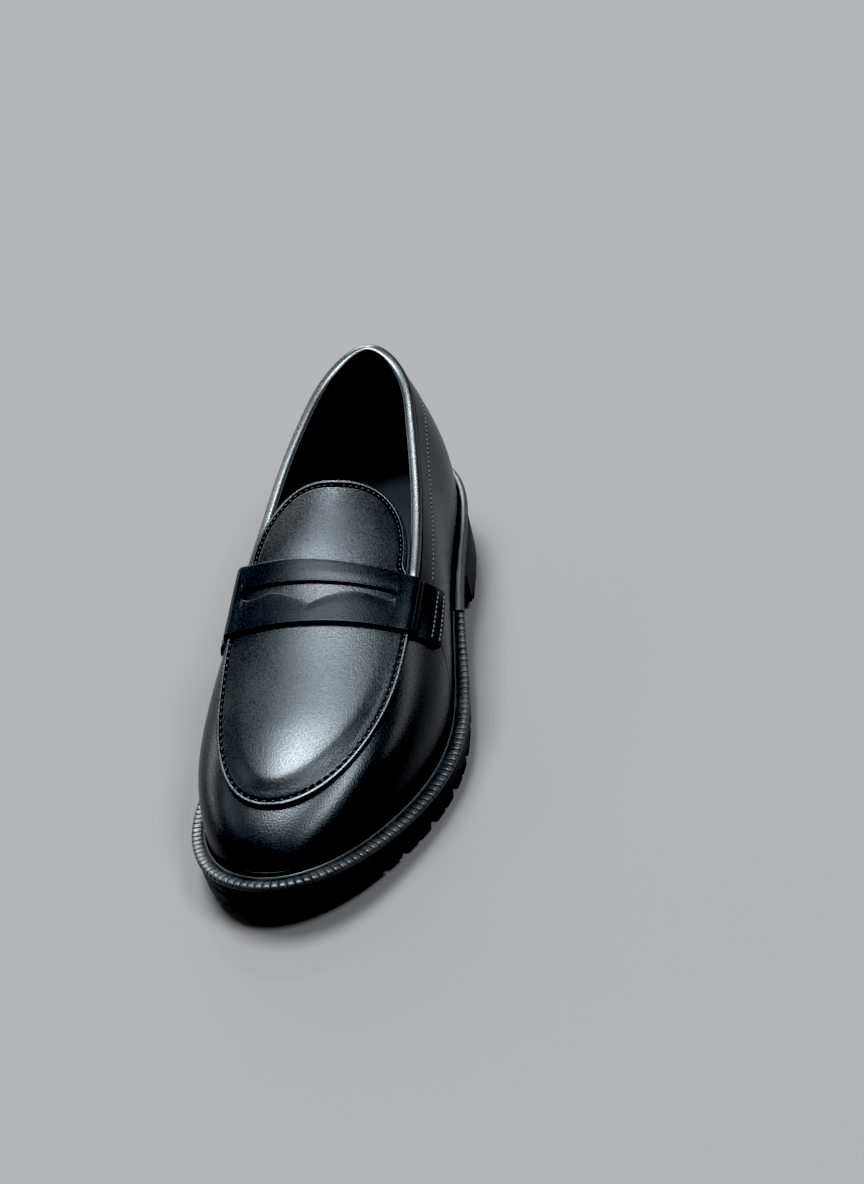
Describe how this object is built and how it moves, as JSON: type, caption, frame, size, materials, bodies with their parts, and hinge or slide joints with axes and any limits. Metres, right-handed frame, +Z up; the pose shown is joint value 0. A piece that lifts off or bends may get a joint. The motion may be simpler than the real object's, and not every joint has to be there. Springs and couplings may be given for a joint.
{
  "type": "penny loafer",
  "caption": "Slip-on leather loafer for the left foot: stitched apron toe, saddle strap with a slot, rolled topline, ribbed welt and a lugged rubber sole with a block heel.",
  "frame": {"origin": "centre of the bounding box's base, on the floor under the sole", "axes": "+X to the toe, +Y to the outer side of the left foot, +Z up"},
  "size_m": [0.2968, 0.1116, 0.0995],
  "materials": {
    "upper_leather": "smooth black calf leather with a satin polish",
    "binding_leather": "polished black leather",
    "lining_leather": "matt black lining leather",
    "sole_rubber": "matt moulded rubber",
    "thread": "waxed black thread",
    "fibre_board": "pressed fibre board",
    "cork": "ground cork",
    "foam": "soft foam",
    "spring_steel": "bare spring steel"
  },
  "bodies": {
    "root": {"outsole": "sole_rubber", "heel_block": "sole_rubber", "midsole": "sole_rubber", "welt": "sole_rubber", "heel_rand": "sole_rubber", "cork_filler": "cork", "heel_filler": "foam", "shank": "spring_steel", "insole_board": "fibre_board", "sock_liner": "lining_leather", "vamp": "upper_leather", "quarter_outer": "upper_leather", "quarter_inner": "upper_leather", "back_strip": "upper_leather", "heel_counter": "fibre_board", "toe_puff": "fibre_board", "vamp_lining": "lining_leather", "quarter_lining": "lining_leather", "apron": "upper_leather", "apron_lining": "lining_leather", "strap": "upper_leather", "topline_binding": "binding_leather", "apron_stitch": "thread", "tongue_stitch": "thread", "collar_stitch_outer": "thread", "collar_stitch_inner": "thread", "strap_stitch_outer_end": "thread", "strap_stitch_outer_row": "thread", "strap_stitch_inner_row": "thread", "strap_stitch_inner_end": "thread"}
  },
  "joints": []
}
